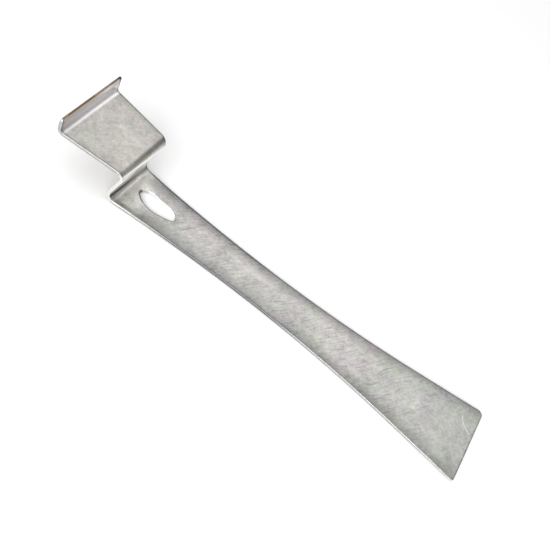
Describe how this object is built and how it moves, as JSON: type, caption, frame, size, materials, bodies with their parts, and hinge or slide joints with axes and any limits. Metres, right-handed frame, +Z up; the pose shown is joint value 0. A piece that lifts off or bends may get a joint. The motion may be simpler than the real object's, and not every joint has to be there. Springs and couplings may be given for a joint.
{
  "type": "hive tool",
  "caption": "Stepped hive tool bent from one strip of sheet steel, with a wide ground blade, a narrow waist, a nail hole and an upturned lip on a raised head.",
  "frame": {"origin": "middle of the tool's overall length and width, on the flat underside of its shank", "axes": "+X along the tool from the lip to the blade's edge, +Y across the tool, +Z up, so the head stands above the shank"},
  "size_m": [0.2116, 0.039, 0.0314],
  "materials": {
    "ground_steel": "satin, belt-ground across the shank"
  },
  "bodies": {
    "root": {"tool_body": "ground_steel"}
  },
  "joints": []
}
